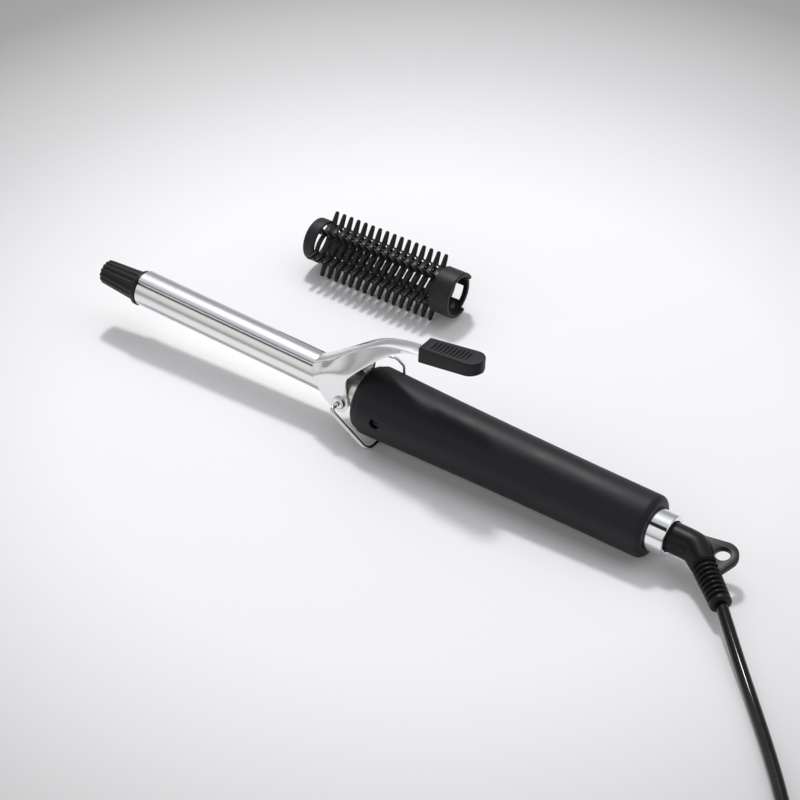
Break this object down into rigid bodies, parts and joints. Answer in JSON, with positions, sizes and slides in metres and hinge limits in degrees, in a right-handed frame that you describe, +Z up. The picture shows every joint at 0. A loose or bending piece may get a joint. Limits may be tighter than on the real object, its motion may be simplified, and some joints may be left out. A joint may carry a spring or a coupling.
{
  "type": "curling iron",
  "caption": "Hair curling iron with a slim chromed barrel, sprung clamp lever, folding wire stand, black grip, swivel cord and a loose bristled brush sleeve.",
  "frame": {"origin": "on the table, under the middle of the box of the iron and its brush sleeve, without the cord", "axes": "+X along the iron towards the cord, +Z up, -Y towards the side that the cord leaves"},
  "size_m": [0.5452, 0.2793, 0.0659],
  "materials": {
    "heat_resistant_plastic": "satin",
    "barrel_chrome": "polished",
    "ceramic": "matt",
    "aluminium": "satin",
    "steel": "satin",
    "wire_insulation": "gloss",
    "lever_chrome": "satin",
    "thumb_plastic": "matt",
    "wire_chrome": "polished",
    "soft_touch": "matt",
    "inner_plastic": "matt",
    "ring_chrome": "mirror",
    "brass": "satin",
    "brass_plated": "polished",
    "boot_rubber": "satin",
    "cord_pvc": "gloss",
    "tie_plastic": "satin",
    "plug_plastic": "satin",
    "brush_plastic": "matt",
    "brush_bristle": "satin"
  },
  "bodies": {
    "handle": {"cool_tip": "heat_resistant_plastic", "barrel_tube": "barrel_chrome", "ceramic_heater": "ceramic", "heat_spreader_upper": "aluminium", "heat_spreader_lower": "aluminium", "thermal_fuse": "steel", "lead_wire_live": "wire_insulation", "lead_wire_neutral": "wire_insulation", "pivot_collar": "steel", "pivot_rivets": "lever_chrome", "clamp_spring": "steel", "handle_nose": "heat_resistant_plastic", "handle_grip": "soft_touch", "barrel_holder": "inner_plastic", "handle_screws": "steel", "rear_ring": "ring_chrome", "swivel_socket": "inner_plastic", "contact_springs": "brass", "contact_carrier": "inner_plastic", "crimp_terminals": "brass"},
    "clamp": {"clamp_strip": "lever_chrome", "clamp_lever": "lever_chrome", "thumb_rest": "thumb_plastic"},
    "stand": {"stand_wire": "wire_chrome"},
    "swivel": {"swivel_spindle": "inner_plastic", "slip_ring": "brass", "contact_pin": "brass", "retaining_ring": "steel", "swivel_boot": "boot_rubber", "strain_relief": "boot_rubber", "cord": "cord_pvc", "cord_coil": "cord_pvc", "cord_tail": "cord_pvc", "cord_tie": "tie_plastic", "plug_body": "plug_plastic", "plug_pins": "brass_plated"},
    "brush_sleeve": {"brush_end_ring": "brush_plastic", "brush_collar": "brush_plastic", "brush_bristle_bars": "brush_bristle", "brush_hoops": "brush_bristle"}
  },
  "joints": [
    {"name": "clamp_pivot", "type": "hinge", "parent": "handle", "child": "clamp", "pos_m": [-0.03091, -0.0442, 0.01789], "axis": [0, 1, 0], "range_deg": [0, 14], "stiffness_Nm_per_rad": 0.9, "springref_deg": -11.46, "deforming": ["clamp_spring"]},
    {"name": "stand_pivot", "type": "hinge", "parent": "handle", "child": "stand", "pos_m": [-0.03091, -0.0442, 0.01789], "axis": [0, 1, 0], "range_deg": [0, 118]},
    {"name": "cord_swivel", "type": "hinge", "parent": "handle", "child": "swivel", "pos_m": [0.13344, -0.0442, 0.01445], "axis": [0.9996, 0, -0.0294], "continuous": true},
    {"name": "sleeve_lift", "type": "slide", "parent": "handle", "child": "brush_sleeve", "axis": [0, 0, 1], "range_m": [0, 0.06]}
  ]
}
